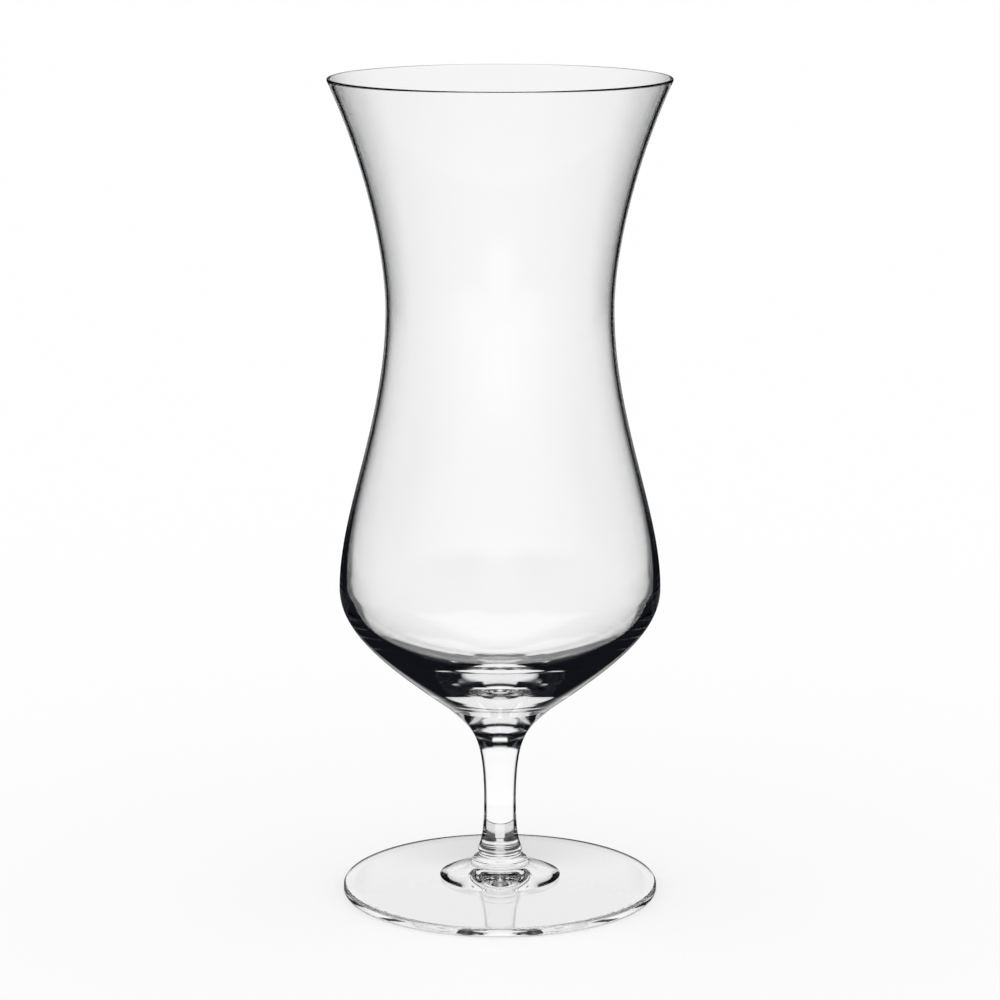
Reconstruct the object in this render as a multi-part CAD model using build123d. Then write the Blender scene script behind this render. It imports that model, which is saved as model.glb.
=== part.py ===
from build123d import *
import os
from math import atan, cos, degrees, radians, sin

# A stemmed hurricane glass: a blown bowl, a drawn stem and a pressed foot, fused in line.
# Millimetres and degrees. +Z is the axis of the glass, and the origin is on the table under its centre.
# A lean is the angle between a stretch of outline and the upright, and a reach is how far a curve
# keeps to the direction in which it sets off.

# Overall
HEIGHT = 200.0

# Bowl, outer face
RIM_RADIUS = 41.0
RIM_LEAN = 24.5
RIM_REACH = 24.0
WAIST_RADIUS = 27.4
WAIST_HEIGHT = 145.0
WAIST_REACH_UP = 11.0
WAIST_REACH_DOWN = 27.2
BELLY_RADIUS = 39.0
BELLY_HEIGHT = 76.5
BELLY_REACH_UP = 18.9
BELLY_REACH_DOWN = 8.5
BASE_LEAN = 54.0
BASE_REACH = 22.6

# Bowl, wall and floor
RIM_WALL = 0.9
WAIST_WALL = 0.8
BELLY_WALL = 1.5
BELLY_WALL_LIFT = 1.5
FLOOR_THICKNESS = 8.0
FLOOR_REACH = 7.0
CORNER_REACH = 17.8

# Weld between the bowl and the stem
BOWL_WELD_RADIUS = 13.1
BOWL_WELD_HEIGHT = 47.0

# Stem, with a small bead round its lower end
TRUMPET_LEAN = 47.6
TRUMPET_REACH = 8.9
STEM_RADIUS = 3.9
STEM_HEIGHT = 22.0
STEM_REACH_UP = 17.7
STEM_REACH_DOWN = 10.0
BEAD_RADIUS = 5.45
BEAD_HEIGHT = 10.4
BEAD_REACH_UP = 0.8
BEAD_REACH_DOWN = 0.4

# Weld between the stem and the foot
FOOT_WELD_RADIUS = 5.2
FOOT_WELD_HEIGHT = 9.5
FOOT_WELD_REACH_UP = 0.4
FOOT_WELD_REACH_DOWN = 0.7

# Foot, boss under the stem
SHOULDER_RADIUS = 6.95
SHOULDER_HEIGHT = 7.0
SHOULDER_REACH_UP = 1.6
SHOULDER_REACH_DOWN = 1.0
BOSS_RADIUS = 14.8
BOSS_HEIGHT = 3.8
BOSS_LEAN = 117.0
BOSS_REACH = 3.4

# Foot, disc and the hollow underneath, whose roof runs level with the top of the disc
FOOT_RADIUS = 38.6
FOOT_EDGE = 2.3
FOOT_EDGE_ROUND = 0.7
HOLLOW_RADIUS = 36.0
HOLLOW_DEPTH = 3.0
HOLLOW_TURN_RADIUS = 14.4
HOLLOW_TURN_REACH = 4.0
HOLLOW_FLAT = 6.0


def along(point, lean, distance):
    """The point at a distance from another, up and outwards at a lean from the upright."""
    radius, height = point
    return (radius + distance * sin(radians(lean)), height + distance * cos(radians(lean)))


def stretch(start, start_lean, start_reach, end, end_lean, end_reach):
    """The curve that leaves one point at a lean, for a reach, and comes to another from a lean."""
    return Bezier(start, along(start, start_lean, start_reach), along(end, end_lean, end_reach), end)


def turned(outline):
    """The solid that an outline of (radius, height) edges makes when turned about the axis."""
    section = Plane.XZ * make_face(outline)
    return revolve(section, Axis.Z)


def bowl():
    """The bowl, from its round rim to the flat weld under its base."""
    half_rim = RIM_WALL / 2
    lip = (RIM_RADIUS - half_rim, HEIGHT - half_rim)
    rim_out = along(lip, RIM_LEAN + 90, half_rim)
    rim_top = along(lip, RIM_LEAN, half_rim)
    rim_in = along(lip, RIM_LEAN - 90, half_rim)
    waist_out = (WAIST_RADIUS, WAIST_HEIGHT)
    waist_in = (WAIST_RADIUS - WAIST_WALL, WAIST_HEIGHT)
    belly_out = (BELLY_RADIUS, BELLY_HEIGHT)
    belly_in = (BELLY_RADIUS - BELLY_WALL, BELLY_HEIGHT + BELLY_WALL_LIFT)
    weld_edge = (BOWL_WELD_RADIUS, BOWL_WELD_HEIGHT)
    weld_centre = (0, BOWL_WELD_HEIGHT)
    floor = (0, BOWL_WELD_HEIGHT + FLOOR_THICKNESS)

    outline = [
        stretch(rim_out, RIM_LEAN, -RIM_REACH, waist_out, 0, WAIST_REACH_UP),
        stretch(waist_out, 180, WAIST_REACH_DOWN, belly_out, 0, BELLY_REACH_UP),
        stretch(belly_out, 180, BELLY_REACH_DOWN, weld_edge, BASE_LEAN, BASE_REACH),
        Line(weld_edge, weld_centre),
        Line(weld_centre, floor),
        stretch(floor, 90, FLOOR_REACH, belly_in, 180, CORNER_REACH),
        stretch(belly_in, 0, BELLY_REACH_UP, waist_in, 180, WAIST_REACH_DOWN),
        stretch(waist_in, 0, WAIST_REACH_UP, rim_in, RIM_LEAN, -RIM_REACH),
        ThreePointArc(rim_in, rim_top, rim_out),
    ]
    return turned(outline)


def stem():
    """The solid stem, a trumpet under the bowl that thins and then widens to a bead on the foot."""
    bowl_edge = (BOWL_WELD_RADIUS, BOWL_WELD_HEIGHT)
    bowl_centre = (0, BOWL_WELD_HEIGHT)
    thinnest = (STEM_RADIUS, STEM_HEIGHT)
    bead = (BEAD_RADIUS, BEAD_HEIGHT)
    foot_edge = (FOOT_WELD_RADIUS, FOOT_WELD_HEIGHT)
    foot_centre = (0, FOOT_WELD_HEIGHT)

    outline = [
        stretch(bowl_edge, TRUMPET_LEAN, -TRUMPET_REACH, thinnest, 0, STEM_REACH_UP),
        stretch(thinnest, 180, STEM_REACH_DOWN, bead, 0, BEAD_REACH_UP),
        stretch(bead, 180, BEAD_REACH_DOWN, foot_edge, 0, FOOT_WELD_REACH_UP),
        Line(foot_edge, foot_centre),
        Line(foot_centre, bowl_centre),
        Line(bowl_centre, bowl_edge),
    ]
    return turned(outline)


def foot():
    """The foot, a sloping disc with a boss under the stem and a hollow underneath."""
    weld_edge = (FOOT_WELD_RADIUS, FOOT_WELD_HEIGHT)
    weld_centre = (0, FOOT_WELD_HEIGHT)
    shoulder = (SHOULDER_RADIUS, SHOULDER_HEIGHT)
    boss_end = (BOSS_RADIUS, BOSS_HEIGHT)
    rim_top = (FOOT_RADIUS, FOOT_EDGE)
    rim_bottom = (FOOT_RADIUS, 0)
    slope = (BOSS_HEIGHT - FOOT_EDGE) / (FOOT_RADIUS - BOSS_RADIUS)
    ring_inside = (HOLLOW_RADIUS, 0)
    hollow_turn = (HOLLOW_TURN_RADIUS, slope * (HOLLOW_RADIUS - HOLLOW_TURN_RADIUS))
    hollow_lean = degrees(atan(slope)) - 90
    hollow_centre = (0, HOLLOW_DEPTH)

    outline = [
        stretch(weld_edge, 180, FOOT_WELD_REACH_DOWN, shoulder, 0, SHOULDER_REACH_UP),
        stretch(shoulder, 180, SHOULDER_REACH_DOWN, boss_end, BOSS_LEAN, -BOSS_REACH),
        Line(boss_end, rim_top),
        Line(rim_top, rim_bottom),
        Line(rim_bottom, ring_inside),
        Line(ring_inside, hollow_turn),
        stretch(hollow_turn, hollow_lean, HOLLOW_TURN_REACH, hollow_centre, 90, HOLLOW_FLAT),
        Line(hollow_centre, weld_centre),
        Line(weld_centre, weld_edge),
    ]
    disc = turned(outline)
    edges = disc.edges().filter_by(GeomType.CIRCLE)
    rounded = [edge for edge in edges if abs(edge.radius - FOOT_RADIUS) < FOOT_EDGE_ROUND]
    return fillet(rounded, FOOT_EDGE_ROUND)


os.makedirs("parts", exist_ok=True)
for name, piece in {"bowl": bowl(), "stem": stem(), "foot": foot()}.items():
    piece.label = name
    export_step(piece, f"parts/{name}.step")
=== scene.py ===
"""A clear hurricane glass in a white studio: a blown bowl, a drawn stem and a pressed foot, fused."""

import functools
import logging
import math
from dataclasses import dataclass
from enum import Enum
from typing import Union

import bpy
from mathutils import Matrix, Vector


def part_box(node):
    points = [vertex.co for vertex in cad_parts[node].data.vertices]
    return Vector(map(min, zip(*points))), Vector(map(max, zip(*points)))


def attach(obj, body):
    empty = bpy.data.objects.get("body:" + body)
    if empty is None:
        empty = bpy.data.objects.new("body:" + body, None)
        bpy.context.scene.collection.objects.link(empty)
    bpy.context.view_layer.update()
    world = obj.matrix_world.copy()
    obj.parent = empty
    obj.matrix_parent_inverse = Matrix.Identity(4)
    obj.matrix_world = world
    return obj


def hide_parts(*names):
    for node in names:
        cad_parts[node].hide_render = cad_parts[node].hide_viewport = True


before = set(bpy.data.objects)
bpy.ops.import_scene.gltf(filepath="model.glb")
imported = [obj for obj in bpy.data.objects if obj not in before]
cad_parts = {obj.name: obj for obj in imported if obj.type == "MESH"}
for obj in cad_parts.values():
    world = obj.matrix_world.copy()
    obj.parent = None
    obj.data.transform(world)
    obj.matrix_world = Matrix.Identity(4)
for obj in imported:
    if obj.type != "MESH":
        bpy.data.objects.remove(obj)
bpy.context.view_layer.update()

MM = 0.001
BODY = "root"
FOOT_WELD_RADIUS = 5.2 * MM
ORIGIN = (0.0, 0.0, 0.0)
AXIS = (0.0, 0.0, 1.0)
WHITE = (1.0, 1.0, 1.0, 1.0)
THROUGH_GLASS = "Is Transmission Ray"

# Leans of an outline from the upright, in degrees
UP = 0.0
OUT = 90.0
DOWN = 180.0
QUARTER_TURN = 90.0

# Angles aside run from 0 to 180 degrees, so these limits leave a zone open to the back or to the front
OPEN_BEHIND = -90.0
OPEN_IN_FRONT = 270.0

Point = tuple[float, float]
Value = Union[float, bpy.types.NodeSocket]

log = logging.getLogger("hurricane_glass")


class Seam(Enum):
    """The flat faces of a piece that are fused to the next one, by the way they face."""

    UNDERSIDE = -1.0
    TOP = 1.0


def along(point: Point, lean: float, distance: float) -> Point:
    """Goes from a point of an outline, up and outwards at a lean from the upright.

    Args:
        point: Radius and height of the starting point.
        lean: Angle from the upright, in degrees.
        distance: How far to go.

    Returns:
        Radius and height of the point reached.
    """
    angle = math.radians(lean)
    return (point[0] + distance * math.sin(angle), point[1] + distance * math.cos(angle))


def between(start: Point, end: Point, share: float = 0.5) -> Point:
    """The point at a share of the way from one point to another."""
    return (start[0] + (end[0] - start[0]) * share, start[1] + (end[1] - start[1]) * share)


def deselect_all() -> None:
    """Leaves nothing selected, so that the next operator acts on one piece only."""
    bpy.ops.object.select_all(action="DESELECT")


@dataclass(frozen=True)
class Weld:
    """The round face where two pieces are fused, square to the axis."""

    radius: float
    height: float

    def edge(self) -> Point:
        """The outer edge of the face, in an outline."""
        return (self.radius, self.height)

    def centre(self) -> Point:
        """The middle of the face, in an outline."""
        return (0.0, self.height)


@dataclass(frozen=True)
class Stretch:
    """One stretch of an outline, a cubic curve between two points of (radius, height)."""

    start: Point
    leaving: Point
    arriving: Point
    end: Point
    straight: bool = False

    @classmethod
    def line(cls, start: Point, end: Point) -> "Stretch":
        """A straight stretch from one point to another."""
        return cls(start, start, end, end, straight=True)

    @classmethod
    def held_line(cls, start: Point, end: Point, hold: float = 0.1 * MM) -> list["Stretch"]:
        """A straight run that stays flat in shading, because it is held by a short stretch at each end.

        Args:
            start: Where the run begins.
            end: Where it ends.
            hold: The length of the short stretches.

        Returns:
            The three stretches.
        """
        lean = math.degrees(math.atan2(end[0] - start[0], end[1] - start[1]))
        first, last = along(start, lean, hold), along(end, lean, -hold)
        return [cls.line(start, first), cls.line(first, last), cls.line(last, end)]

    @classmethod
    def curve(cls, start: Point, start_lean: float, start_reach: float,
              end: Point, end_lean: float, end_reach: float) -> "Stretch":
        """A curve that leaves one point at a lean, for a reach, and comes to another from a lean.

        Args:
            start: Where the curve begins.
            start_lean: The lean in which it sets off, in degrees.
            start_reach: How far it keeps to that direction.
            end: Where the curve ends.
            end_lean: The lean from which it comes in, in degrees.
            end_reach: How far it has kept to that direction.

        Returns:
            The stretch.
        """
        return cls(start, along(start, start_lean, start_reach), along(end, end_lean, end_reach), end)

    @classmethod
    def round(cls, start: Point, corner: Point, end: Point) -> "Stretch":
        """A round of about a quarter of a circle, which sets off to a corner and comes in from it."""
        share = 4.0 / 3.0 * (math.sqrt(2.0) - 1.0)
        return cls(start, between(start, corner, share), between(end, corner, share), end)

    def halves(self) -> list["Stretch"]:
        """Cuts the curve in two, so that it gets twice the steps.

        Returns:
            The two stretches, which follow the same curve.
        """
        first, second = between(self.start, self.leaving), between(self.leaving, self.arriving)
        third = between(self.arriving, self.end)
        before, after = between(first, second), between(second, third)
        middle = between(before, after)
        return [Stretch(self.start, first, before, middle), Stretch(middle, after, third, self.end)]


class Wiring:
    """Wires a node tree's sums, one short call for each node."""

    def __init__(self, tree: bpy.types.NodeTree) -> None:
        """Keeps the tree that the nodes go into."""
        self.tree = tree

    def node(self, kind: str) -> bpy.types.Node:
        """A new node of a kind."""
        return self.tree.nodes.new(kind)

    def join(self, source: bpy.types.NodeSocket, target: bpy.types.NodeSocket) -> None:
        """Links an output to an input."""
        self.tree.links.new(source, target)

    def feed(self, target: bpy.types.NodeSocket, value: Value) -> None:
        """Gives an input a number or another node's output.

        Args:
            target: The input.
            value: The number or the output.
        """
        if isinstance(value, bpy.types.NodeSocket):
            self.join(value, target)
        else:
            target.default_value = value

    def math(self, operation: str, first: Value, second: Value = 0.0) -> bpy.types.NodeSocket:
        """One sum.

        Args:
            operation: The math node's operation.
            first: The first number or output.
            second: The second one, where the operation takes two.

        Returns:
            The result's output.
        """
        node = self.node("ShaderNodeMath")
        node.operation = operation
        self.feed(node.inputs[0], first)
        self.feed(node.inputs[1], second)
        return node.outputs[0]

    def mix(self, share: Value, first: bpy.types.NodeSocket,
            second: bpy.types.NodeSocket) -> bpy.types.NodeSocket:
        """Mixes two shaders.

        Args:
            share: How much of the second one shows.
            first: The first shader's output.
            second: The second one's.

        Returns:
            The mixture's output.
        """
        node = self.node("ShaderNodeMixShader")
        self.feed(node.inputs[0], share)
        self.join(first, node.inputs[1])
        self.join(second, node.inputs[2])
        return node.outputs[0]

    def both(self, first: Value, second: Value) -> bpy.types.NodeSocket:
        """The share that is in one zone and in another."""
        return self.math("MULTIPLY", first, second)

    def either(self, first: Value, second: Value) -> bpy.types.NodeSocket:
        """The share that is in one zone or in another."""
        return self.math("MAXIMUM", first, second)

    def ramp(self, value: Value, start: float, end: float, low: float, high: float) -> bpy.types.NodeSocket:
        """A soft step.

        Args:
            value: What is measured.
            start: The measure at which the step begins.
            end: The measure at which it ends.
            low: The result before the step.
            high: The result after it.

        Returns:
            The result's output.
        """
        node = self.node("ShaderNodeMapRange")
        node.interpolation_type = "SMOOTHSTEP"
        self.feed(node.inputs["Value"], value)
        for name, number in (("From Min", start), ("From Max", end), ("To Min", low), ("To Max", high)):
            node.inputs[name].default_value = number
        return node.outputs[0]

    def past(self, value: Value, limit: float, soft: float) -> bpy.types.NodeSocket:
        """Nothing up to a limit and one past it, with a soft edge of a half width."""
        return self.ramp(value, limit - soft, limit + soft, 0.0, 1.0)

    def within(self, value: Value, limit: float, soft: float) -> bpy.types.NodeSocket:
        """One up to a limit and nothing past it, with a soft edge of a half width."""
        return self.ramp(value, limit - soft, limit + soft, 1.0, 0.0)

    def band(self, value: Value, low: float, high: float, soft: float) -> bpy.types.NodeSocket:
        """One between two limits and nothing outside them, with soft edges of a half width."""
        return self.both(self.past(value, low, soft), self.within(value, high, soft))

    def bearings(self) -> tuple[bpy.types.NodeSocket, bpy.types.NodeSocket, bpy.types.NodeSocket]:
        """Where a point of the object lies, seen from its origin.

        Returns:
            Its angles to either side of straight behind and above the level, in degrees, and its height.
        """
        place = self.node("ShaderNodeTexCoord").outputs["Object"]
        split = self.node("ShaderNodeSeparateXYZ")
        self.join(place, split.inputs[0])
        squares = [self.math("POWER", split.outputs[axis], 2.0) for axis in ("X", "Y")]
        level = self.math("SQRT", self.math("ADD", *squares))
        degree = 180.0 / math.pi
        aside = self.math("ABSOLUTE", self.math("ARCTAN2", split.outputs["X"], split.outputs["Y"]))
        above = self.math("ARCTAN2", split.outputs["Z"], level)
        angles = [self.math("MULTIPLY", angle, degree) for angle in (aside, above)]
        return *angles, split.outputs["Z"]


def blank_material(name: str) -> tuple[bpy.types.Material, Wiring, bpy.types.Node]:
    """Starts a material from nothing.

    Args:
        name: The material's name.

    Returns:
        The material, the wiring of its nodes and its output node.
    """
    material = bpy.data.materials.new(name)
    material.use_nodes = True
    material.node_tree.nodes.clear()
    wiring = Wiring(material.node_tree)
    return material, wiring, wiring.node("ShaderNodeOutputMaterial")


@dataclass(frozen=True)
class ClearGlass:
    """Clear, fire-polished glass with the faint ripple that hot working leaves in its surface."""

    name: str
    index: float = 1.52
    tint: tuple[float, float, float] = (1.0, 1.0, 1.0)
    ripple_length: float = 30.0 * MM
    ripple_depth: float = 0.0004 * MM

    def make(self) -> bpy.types.Material:
        """Wires the glass and the bump that ripples it.

        Returns:
            The material.
        """
        material, wiring, output = blank_material(self.name)
        glass = wiring.node("ShaderNodeBsdfPrincipled")
        glass.inputs["Base Color"].default_value = (*self.tint, 1.0)
        glass.inputs["Roughness"].default_value = 0.0
        glass.inputs["IOR"].default_value = self.index
        glass.inputs["Transmission Weight"].default_value = 1.0
        ripple = wiring.node("ShaderNodeTexNoise")
        ripple.inputs["Scale"].default_value = 1.0 / self.ripple_length
        ripple.inputs["Detail"].default_value = 0.0
        bump = wiring.node("ShaderNodeBump")
        bump.inputs["Strength"].default_value = 1.0
        bump.inputs["Distance"].default_value = self.ripple_depth
        wiring.join(wiring.node("ShaderNodeTexCoord").outputs["Object"], ripple.inputs["Vector"])
        wiring.join(ripple.outputs[0], bump.inputs["Height"])
        wiring.join(bump.outputs["Normal"], glass.inputs["Normal"])
        wiring.join(glass.outputs[0], output.inputs["Surface"])
        return material


@dataclass(frozen=True)
class FusedFace:
    """The face inside a weld, where two pieces have run together and nothing is left to see."""

    name: str = "fused_face"

    def make(self) -> bpy.types.Material:
        """Wires a face that lets all light straight through.

        Returns:
            The material.
        """
        material, wiring, output = blank_material(self.name)
        wiring.join(wiring.node("ShaderNodeBsdfTransparent").outputs[0], output.inputs["Surface"])
        return material


@dataclass(kw_only=True)
class TurnedPiece:
    """A piece of glass that is round about the upright axis, spun from the outline of half its section.

    Points closer together than merge_within become one. A face belongs to a weld if its middle is within
    flush_within of the weld's height and the cosine of its tilt is over flat_over.
    """

    node: str
    finish: ClearGlass
    fused: FusedFace
    sides: int = 180
    steps: int = 52
    crease: float = 20.0
    merge_within: float = 0.001 * MM
    flush_within: float = 0.01 * MM
    flat_over: float = 0.99

    def outline(self) -> list[Stretch]:
        """The outline from axis to axis."""
        raise NotImplementedError

    def seams(self) -> dict[Seam, Weld]:
        """The flat faces that are fused to another piece."""
        raise NotImplementedError

    @staticmethod
    def upright(point: Point) -> Vector:
        """A point of the outline, set in the upright plane through the axis."""
        return Vector((point[0], 0.0, point[1]))

    def draw(self) -> bpy.types.Object:
        """Draws the outline as a curve in the upright plane.

        Returns:
            The curve's object.
        """
        stretches = self.outline()
        deselect_all()
        bpy.ops.curve.primitive_bezier_curve_add(location=ORIGIN)
        curve = bpy.context.object
        spline = curve.data.splines[0]
        spline.bezier_points.add(len(stretches) + 1 - len(spline.bezier_points))
        spline.resolution_u = self.steps
        for point in spline.bezier_points:
            point.handle_left_type = "FREE"
            point.handle_right_type = "FREE"
        first = spline.bezier_points[0]
        first.co = self.upright(stretches[0].start)
        first.handle_left = first.co
        for stretch, before, after in zip(stretches, spline.bezier_points, spline.bezier_points[1:]):
            after.co = self.upright(stretch.end)
            before.handle_right = self.upright(stretch.leaving)
            after.handle_left = self.upright(stretch.arriving)
            if stretch.straight:
                before.handle_right_type = "VECTOR"
                after.handle_left_type = "VECTOR"
        last = spline.bezier_points[-1]
        last.handle_right = last.co
        return curve

    def build(self) -> bpy.types.Object:
        """Spins the outline about the axis into a closed piece.

        Returns:
            The piece.
        """
        piece = self.draw()
        bpy.ops.object.convert(target="MESH")
        bpy.ops.object.mode_set(mode="EDIT")
        bpy.ops.mesh.select_all(action="SELECT")
        bpy.ops.mesh.spin(steps=self.sides, angle=2.0 * math.pi, use_auto_merge=True,
                          center=ORIGIN, axis=AXIS)
        bpy.ops.mesh.select_all(action="SELECT")
        bpy.ops.mesh.remove_doubles(threshold=self.merge_within)
        bpy.ops.mesh.normals_make_consistent(inside=False)
        bpy.ops.object.mode_set(mode="OBJECT")
        bpy.ops.object.shade_smooth_by_angle(angle=math.radians(self.crease))
        piece.name = f"{self.node}_glass"
        piece.data.name = piece.name
        return piece

    def dress(self, piece: bpy.types.Object) -> None:
        """Gives the piece its glass and leaves its fused faces unseen.

        Args:
            piece: The built piece.
        """
        piece.data.materials.clear()
        piece.data.materials.append(self.finish.make())
        piece.data.materials.append(bpy.data.materials.get(self.fused.name) or self.fused.make())
        for seam, weld in self.seams().items():
            for face in piece.data.polygons:
                flush = abs(face.center.z - weld.height) < self.flush_within
                if flush and face.normal.z * seam.value > self.flat_over:
                    face.material_index = 1

    def place(self) -> bpy.types.Object:
        """Builds and dresses the piece, and puts it in place of the node that it stands for.

        Returns:
            The finished piece.
        """
        piece = self.build()
        self.dress(piece)
        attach(piece, BODY)
        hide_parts(self.node)
        log.info("%s: %d faces", piece.name, len(piece.data.polygons))
        return piece


@dataclass(kw_only=True)
class Bowl(TurnedPiece):
    """The blown bowl: flared rim, waist, belly and a thick base that ends flat on the stem."""

    weld: Weld
    height: float
    rim_radius: float
    rim_lean: float = 24.5
    rim_reach: float = 24.0 * MM
    rim_wall: float = 0.9 * MM
    waist_radius: float = 27.4 * MM
    waist_height: float = 145.0 * MM
    waist_reach_up: float = 11.0 * MM
    waist_reach_down: float = 27.2 * MM
    waist_wall: float = 0.8 * MM
    belly_radius: float = 39.0 * MM
    belly_height: float = 76.5 * MM
    belly_reach_up: float = 18.9 * MM
    belly_reach_down: float = 8.5 * MM
    belly_wall: float = 1.5 * MM
    belly_wall_lift: float = 1.5 * MM
    base_lean: float = 54.0
    base_reach: float = 22.6 * MM
    floor_thickness: float = 8.0 * MM
    floor_reach: float = 7.0 * MM
    corner_reach: float = 17.8 * MM

    def outline(self) -> list[Stretch]:
        """Goes from the middle of the weld up the outside, over the rim and down the inside.

        Returns:
            The stretches, the last of which ends in the middle of the floor.
        """
        half = self.rim_wall / 2.0
        lip = (self.rim_radius - half, self.height - half)
        rim_out = along(lip, self.rim_lean + QUARTER_TURN, half)
        rim_top = along(lip, self.rim_lean, half)
        rim_in = along(lip, self.rim_lean - QUARTER_TURN, half)
        waist_out = (self.waist_radius, self.waist_height)
        waist_in = (self.waist_radius - self.waist_wall, self.waist_height)
        belly_out = (self.belly_radius, self.belly_height)
        belly_in = (self.belly_radius - self.belly_wall, self.belly_height + self.belly_wall_lift)
        weld_edge = self.weld.edge()
        floor = (0.0, self.weld.height + self.floor_thickness)
        base = Stretch.curve(weld_edge, self.base_lean, self.base_reach,
                             belly_out, DOWN, self.belly_reach_down)
        corner = Stretch.curve(belly_in, DOWN, self.corner_reach, floor, OUT, self.floor_reach)
        return [
            Stretch.line(self.weld.centre(), weld_edge),
            *base.halves(),
            Stretch.curve(belly_out, UP, self.belly_reach_up, waist_out, DOWN, self.waist_reach_down),
            Stretch.curve(waist_out, UP, self.waist_reach_up, rim_out, self.rim_lean, -self.rim_reach),
            Stretch.round(rim_out, along(rim_out, self.rim_lean, half), rim_top),
            Stretch.round(rim_top, along(rim_in, self.rim_lean, half), rim_in),
            Stretch.curve(rim_in, self.rim_lean, -self.rim_reach, waist_in, UP, self.waist_reach_up),
            Stretch.curve(waist_in, DOWN, self.waist_reach_down, belly_in, UP, self.belly_reach_up),
            *corner.halves(),
        ]

    def seams(self) -> dict[Seam, Weld]:
        """The weld under the base."""
        return {Seam.UNDERSIDE: self.weld}


@dataclass(kw_only=True)
class Stem(TurnedPiece):
    """The drawn stem: a trumpet under the bowl that thins, then widens to a small bead on the foot."""

    steps: int = 96
    upper_weld: Weld
    lower_weld: Weld
    trumpet_lean: float = 47.6
    trumpet_reach: float = 8.9 * MM
    thin_radius: float = 3.9 * MM
    thin_height: float = 22.0 * MM
    thin_reach_up: float = 17.7 * MM
    thin_reach_down: float = 10.0 * MM
    bead_radius: float = 5.45 * MM
    bead_height: float = 10.4 * MM
    bead_reach_up: float = 0.8 * MM
    bead_reach_down: float = 0.4 * MM
    weld_reach: float = 0.4 * MM

    def outline(self) -> list[Stretch]:
        """Goes from the middle of the lower weld round the bead and up the side to the upper weld.

        Returns:
            The stretches, the last of which ends in the middle of the upper weld.
        """
        foot_edge = self.lower_weld.edge()
        bead = (self.bead_radius, self.bead_height)
        thinnest = (self.thin_radius, self.thin_height)
        bowl_edge = self.upper_weld.edge()
        return [
            Stretch.line(self.lower_weld.centre(), foot_edge),
            Stretch.curve(foot_edge, UP, self.weld_reach, bead, DOWN, self.bead_reach_down),
            Stretch.curve(bead, UP, self.bead_reach_up, thinnest, DOWN, self.thin_reach_down),
            Stretch.curve(thinnest, UP, self.thin_reach_up,
                          bowl_edge, self.trumpet_lean, -self.trumpet_reach),
            Stretch.line(bowl_edge, self.upper_weld.centre()),
        ]

    def seams(self) -> dict[Seam, Weld]:
        """The welds at both ends."""
        return {Seam.UNDERSIDE: self.lower_weld, Seam.TOP: self.upper_weld}


@dataclass(kw_only=True)
class Foot(TurnedPiece):
    """The pressed foot: a boss under the stem, a sloping disc, a rounded edge and a hollow underneath."""

    steps: int = 72
    weld: Weld
    radius: float
    weld_reach: float = 0.7 * MM
    shoulder_radius: float = 6.95 * MM
    shoulder_height: float = 7.0 * MM
    shoulder_reach_up: float = 1.6 * MM
    shoulder_reach_down: float = 1.0 * MM
    boss_radius: float = 14.8 * MM
    boss_height: float = 3.8 * MM
    boss_lean: float = 117.0
    boss_reach: float = 3.4 * MM
    edge: float = 2.3 * MM
    edge_round: float = 0.7 * MM
    hollow_radius: float = 36.0 * MM
    hollow_depth: float = 3.0 * MM
    hollow_turn_radius: float = 14.4 * MM
    hollow_turn_reach: float = 4.0 * MM
    hollow_flat: float = 6.0 * MM

    def outline(self) -> list[Stretch]:
        """Goes from the middle of the hollow out under the disc, round its edge and up the boss.

        Returns:
            The stretches, the last of which ends in the middle of the weld.
        """
        slope = (self.boss_height - self.edge) / (self.radius - self.boss_radius)
        fall = math.degrees(math.atan(slope))
        roof = (0.0, self.hollow_depth)
        turn = (self.hollow_turn_radius, slope * (self.hollow_radius - self.hollow_turn_radius))
        ring_inside = (self.hollow_radius, 0.0)
        ring_outside = (self.radius - self.edge_round, 0.0)
        lower_corner = (self.radius, 0.0)
        lower_side = (self.radius, self.edge_round)
        upper_corner = (self.radius, self.edge)
        tuck = self.edge_round * math.tan(math.radians((QUARTER_TURN - fall) / 2.0))
        upper_side = along(upper_corner, DOWN, tuck)
        upper_end = along(upper_corner, fall - QUARTER_TURN, tuck)
        boss_end = (self.boss_radius, self.boss_height)
        shoulder = (self.shoulder_radius, self.shoulder_height)
        weld_edge = self.weld.edge()
        return [
            Stretch.curve(roof, OUT, self.hollow_flat,
                          turn, fall - QUARTER_TURN, self.hollow_turn_reach),
            *Stretch.held_line(turn, ring_inside),
            *Stretch.held_line(ring_inside, ring_outside),
            Stretch.round(ring_outside, lower_corner, lower_side),
            *Stretch.held_line(lower_side, upper_side),
            Stretch.round(upper_side, upper_corner, upper_end),
            *Stretch.held_line(upper_end, boss_end),
            Stretch.curve(boss_end, self.boss_lean, -self.boss_reach,
                          shoulder, DOWN, self.shoulder_reach_down),
            Stretch.curve(shoulder, UP, self.shoulder_reach_up, weld_edge, DOWN, self.weld_reach),
            Stretch.line(weld_edge, self.weld.centre()),
        ]

    def seams(self) -> dict[Seam, Weld]:
        """The weld under the stem."""
        return {Seam.TOP: self.weld}


def keep_for_glass(card: bpy.types.Object, material: bpy.types.Material, mirrored: bool) -> None:
    """Dresses a card and keeps it out of the picture, off the floor's light and out of the lamps.

    Args:
        card: The card.
        material: Its finish.
        mirrored: Whether the faces of the glass mirror it too.
    """
    material.cycles.emission_sampling = "NONE"
    card.data.materials.append(material)
    card.visible_camera = False
    card.visible_diffuse = False
    card.visible_shadow = False
    card.visible_volume_scatter = False
    card.visible_glossy = mirrored


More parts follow.
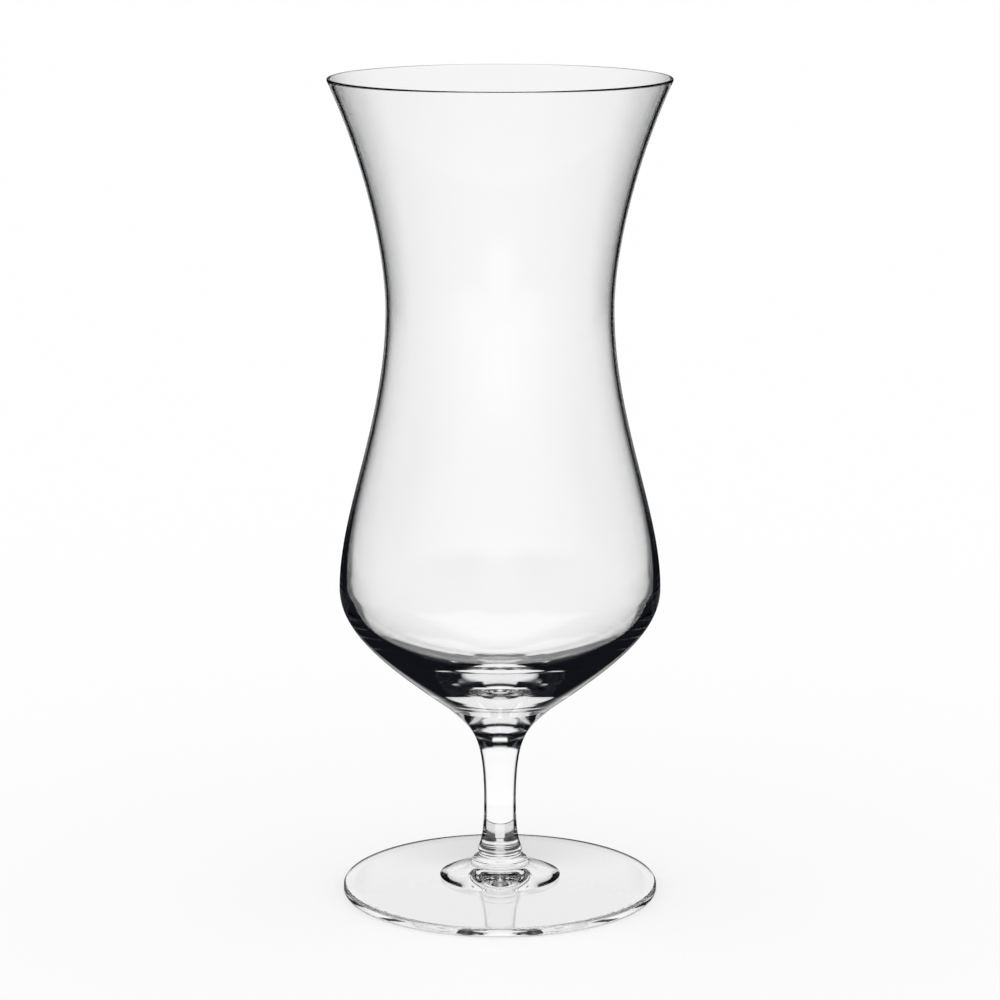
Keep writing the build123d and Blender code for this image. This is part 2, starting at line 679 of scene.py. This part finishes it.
@dataclass(frozen=True)
class CurvedCard:
    """A card bent round the axis, soft at its edges, that only light on its way out of the glass meets.

    Angles are in degrees, to either side of straight behind the glass.
    """

    name: str
    radius: float
    low: float
    high: float
    soft: float
    aside_from: float = OPEN_BEHIND
    aside_to: float = 46.0
    aside_soft: float = 6.0
    level: float = 1.0
    cover: float = 1.0
    sides: int = 128

    def hang(self) -> bpy.types.Object:
        """Hangs the card.

        Returns:
            The card.
        """
        low, high = self.low - self.soft, self.high + self.soft
        deselect_all()
        middle = (0.0, 0.0, (low + high) / 2.0)
        bpy.ops.mesh.primitive_cylinder_add(vertices=self.sides, radius=self.radius, depth=high - low,
                                            end_fill_type="NOTHING", location=middle)
        bpy.ops.object.transform_apply(location=True, rotation=False, scale=False)
        card = bpy.context.object
        card.name = self.name
        material, wiring, output = blank_material(f"{self.name}_paper")
        aside, _, height = wiring.bearings()
        there = wiring.both(wiring.band(aside, self.aside_from, self.aside_to, self.aside_soft),
                            wiring.band(height, self.low, self.high, self.soft))
        shine = wiring.node("ShaderNodeEmission")
        shine.inputs["Strength"].default_value = self.level
        gap = wiring.node("ShaderNodeBsdfTransparent")
        share = wiring.math("MULTIPLY", there, self.cover)
        wiring.join(wiring.mix(share, gap.outputs[0], shine.outputs[0]), output.inputs["Surface"])
        keep_for_glass(card, material, mirrored=False)
        return card


@dataclass(frozen=True)
class Zone:
    """A white zone of the far surroundings, soft at its edges.

    Angles are in degrees, to either side of straight behind the glass and above the level.
    """

    low: float
    high: float
    soft: float
    aside_from: float = OPEN_BEHIND
    aside_to: float = OPEN_IN_FRONT
    aside_soft: float = 2.0
    level: float = 1.0

    def wire(self, wiring: Wiring, aside: Value, above: Value) -> bpy.types.NodeSocket:
        """Works out how white the surroundings are in a direction, as far as this zone goes.

        Args:
            wiring: The wiring of the tent's nodes.
            aside: The direction's angle to either side of straight behind the glass.
            above: Its angle above the level.

        Returns:
            The level's output.
        """
        share = wiring.both(wiring.band(aside, self.aside_from, self.aside_to, self.aside_soft),
                            wiring.band(above, self.low, self.high, self.soft))
        return wiring.math("MULTIPLY", share, self.level)


@dataclass(frozen=True)
class Tent:
    """The far surroundings of the glass: black cloth with white zones in it.

    The zones that the glass shows by bending the light are set apart from those that its faces mirror.
    """

    radius: float = 3.0
    segments: int = 64
    rings: int = 32
    dark: tuple[float, float, float] = (0.006, 0.0065, 0.009)
    through: tuple[Zone, ...] = (
        # The panel behind the glass, from low down to just over the level
        Zone(low=-60.0, high=6.0, soft=4.0, aside_to=12.5),
        # The same panel higher up, past a dark gap
        Zone(low=17.0, high=34.0, soft=4.0, aside_to=12.5),
        # A wide light over the panel
        Zone(low=43.0, high=71.0, soft=5.0, aside_to=38.0, aside_soft=8.0),
        # The table in front
        Zone(low=-100.0, high=-8.0, soft=12.0, aside_from=125.0, aside_soft=38.0),
        # The greyer wall that the camera stands before
        Zone(low=-12.0, high=12.0, soft=6.0, aside_from=165.0, aside_soft=12.0, level=0.6),
    )
    mirrored: tuple[Zone, ...] = (
        # The upper part of the panel
        Zone(low=12.0, high=40.0, soft=6.0, aside_to=12.5),
        # The foot of the panel
        Zone(low=-60.0, high=-22.0, soft=6.0, aside_to=14.0, aside_soft=3.0),
        # The front of the room
        Zone(low=-70.0, high=20.0, soft=20.0, aside_from=72.0, aside_soft=14.0),
        # Both sides of the room, near the level
        Zone(low=-5.0, high=10.0, soft=3.0, aside_from=42.0, aside_soft=12.0),
    )

    def pitch(self) -> bpy.types.Object:
        """Pitches the tent.

        Returns:
            The tent.
        """
        deselect_all()
        bpy.ops.mesh.primitive_uv_sphere_add(segments=self.segments, ring_count=self.rings,
                                             radius=self.radius)
        tent = bpy.context.object
        tent.name = "tent"
        bpy.ops.object.shade_smooth()
        material, wiring, output = blank_material("tent_cloth")
        aside, above, _ = wiring.bearings()
        bent, faces = (
            functools.reduce(wiring.either, [zone.wire(wiring, aside, above) for zone in zones])
            for zones in (self.through, self.mirrored)
        )
        light = wiring.node("ShaderNodeMix")
        light.data_type = "FLOAT"
        wiring.join(wiring.node("ShaderNodeLightPath").outputs[THROUGH_GLASS], light.inputs["Factor"])
        wiring.join(faces, light.inputs["A"])
        wiring.join(bent, light.inputs["B"])
        colour = wiring.node("ShaderNodeMix")
        colour.data_type = "RGBA"
        wiring.join(light.outputs["Result"], colour.inputs["Factor"])
        colour.inputs["A"].default_value = (*self.dark, 1.0)
        colour.inputs["B"].default_value = WHITE
        shine = wiring.node("ShaderNodeEmission")
        wiring.join(colour.outputs["Result"], shine.inputs["Color"])
        wiring.join(shine.outputs[0], output.inputs["Surface"])
        keep_for_glass(tent, material, mirrored=True)
        return tent


@dataclass(frozen=True)
class Studio:
    """A white room for glass: a pale floor, and around it white and black cards that only the glass sees,
    with a grey sheet of painted shade under the foot.

    The cards turn with the camera, as a photographer would carry them round.
    """

    floor_size: float = 14.0
    floor_grey: float = 0.99
    floor_glow: float = 0.6
    tent: Tent = Tent()
    cards: tuple[CurvedCard, ...] = (
        CurvedCard("stem_card", radius=50.0 * MM, low=-14.0 * MM, high=41.0 * MM, soft=2.0 * MM),
        CurvedCard("foot_flag", radius=51.0 * MM, low=-48.0 * MM, high=2.0 * MM, soft=3.0 * MM,
                   aside_from=58.0, aside_to=OPEN_IN_FRONT, level=0.0),
        # A grey sheet below the floor, all round, that dims by about a fifth all that is seen down through
        # the foot: painted shade under the foot
        CurvedCard("painted_foot_shade", radius=49.5 * MM, low=-48.0 * MM, high=-6.0 * MM, soft=7.0 * MM,
                   aside_to=OPEN_IN_FRONT, level=0.0, cover=0.22),
    )

    def build(self, camera: bpy.types.Object) -> None:
        """Sets up the room round the glass.

        Args:
            camera: The camera that the cards turn with.
        """
        self.light_room()
        self.lay_floor()
        bpy.ops.object.empty_add(location=ORIGIN)
        stand = bpy.context.object
        stand.name = "card_stand"
        turn = stand.constraints.new("LOCKED_TRACK")
        turn.target = camera
        turn.track_axis = "TRACK_NEGATIVE_Y"
        turn.lock_axis = "LOCK_Z"
        for card in (self.tent.pitch(), *(card.hang() for card in self.cards)):
            card.parent = stand
            log.info("%s: set up", card.name)

    @staticmethod
    def light_room() -> None:
        """Fills the room with plain white light."""
        world = bpy.data.worlds.new("white_room")
        world.use_nodes = True
        light = world.node_tree.nodes["Background"]
        light.inputs["Color"].default_value = WHITE
        light.inputs["Strength"].default_value = 1.0
        bpy.context.scene.world = world

    def lay_floor(self) -> None:
        """Lays the pale floor, a white sheet lit partly from below, which keeps the glass's shadow."""
        deselect_all()
        bpy.ops.mesh.primitive_plane_add(size=self.floor_size, location=ORIGIN)
        floor = bpy.context.object
        floor.name = "floor"
        material, wiring, output = blank_material("pale_floor")
        paint = wiring.node("ShaderNodeBsdfDiffuse")
        paint.inputs["Color"].default_value = (self.floor_grey, self.floor_grey, self.floor_grey, 1.0)
        glow = wiring.node("ShaderNodeEmission")
        sheet = wiring.mix(self.floor_glow, paint.outputs[0], glow.outputs[0])
        wiring.join(sheet, output.inputs["Surface"])
        material.cycles.emission_sampling = "NONE"
        floor.data.materials.append(material)
        floor.visible_glossy = False
        floor.visible_transmission = False


@dataclass(frozen=True)
class Viewpoint:
    """The camera, at the photograph's height, distance and tilt.

    The tilt below the level is in radians, and focal_pixels is the focal length in a frame_width of pixels.
    """

    back: float = 829.08 * MM
    up: float = 266.98 * MM
    tilt: float = 0.2010
    sensor: float = 36.0
    frame_width: float = 1000.0
    focal_pixels: float = 3494.95
    farthest: float = 50.0
    bounces: int = 32

    def set_up(self) -> bpy.types.Object:
        """Places the camera, makes it the scene's own and lets its sight lines pass many faces of glass.

        Returns:
            The camera.
        """
        deselect_all()
        bpy.ops.object.camera_add(location=(0.0, -self.back, self.up),
                                  rotation=(math.pi / 2.0 - self.tilt, 0.0, 0.0))
        camera = bpy.context.object
        camera.data.sensor_width = self.sensor
        camera.data.lens = self.sensor * self.focal_pixels / self.frame_width
        camera.data.clip_end = self.farthest
        scene = bpy.context.scene
        scene.camera = camera
        scene.view_settings.view_transform = "Standard"
        for limit in ("max_bounces", "glossy_bounces", "transmission_bounces", "transparent_max_bounces"):
            setattr(scene.cycles, limit, self.bounces)
        scene.cycles.blur_glossy = 0.0
        scene.cycles.caustics_reflective = True
        scene.cycles.caustics_refractive = True
        return camera


def main() -> None:
    """Builds the glass piece by piece, then the camera and the studio."""
    logging.basicConfig(level=logging.INFO, format="%(name)s: %(message)s")
    bowl_top, stem_top, foot_top = (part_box(node)[1] for node in ("bowl", "stem", "foot"))
    bowl_weld = Weld(radius=stem_top.x, height=stem_top.z)
    foot_weld = Weld(radius=FOOT_WELD_RADIUS, height=foot_top.z)
    fused = FusedFace()
    Bowl(node="bowl", finish=ClearGlass("bowl_glass"), fused=fused, weld=bowl_weld,
         height=bowl_top.z, rim_radius=bowl_top.x).place()
    Stem(node="stem", finish=ClearGlass("stem_glass"), fused=fused,
         upper_weld=bowl_weld, lower_weld=foot_weld).place()
    Foot(node="foot", finish=ClearGlass("foot_glass"), fused=fused,
         weld=foot_weld, radius=foot_top.x).place()
    camera = Viewpoint().set_up()
    Studio().build(camera)


if __name__ == "__main__":
    main()
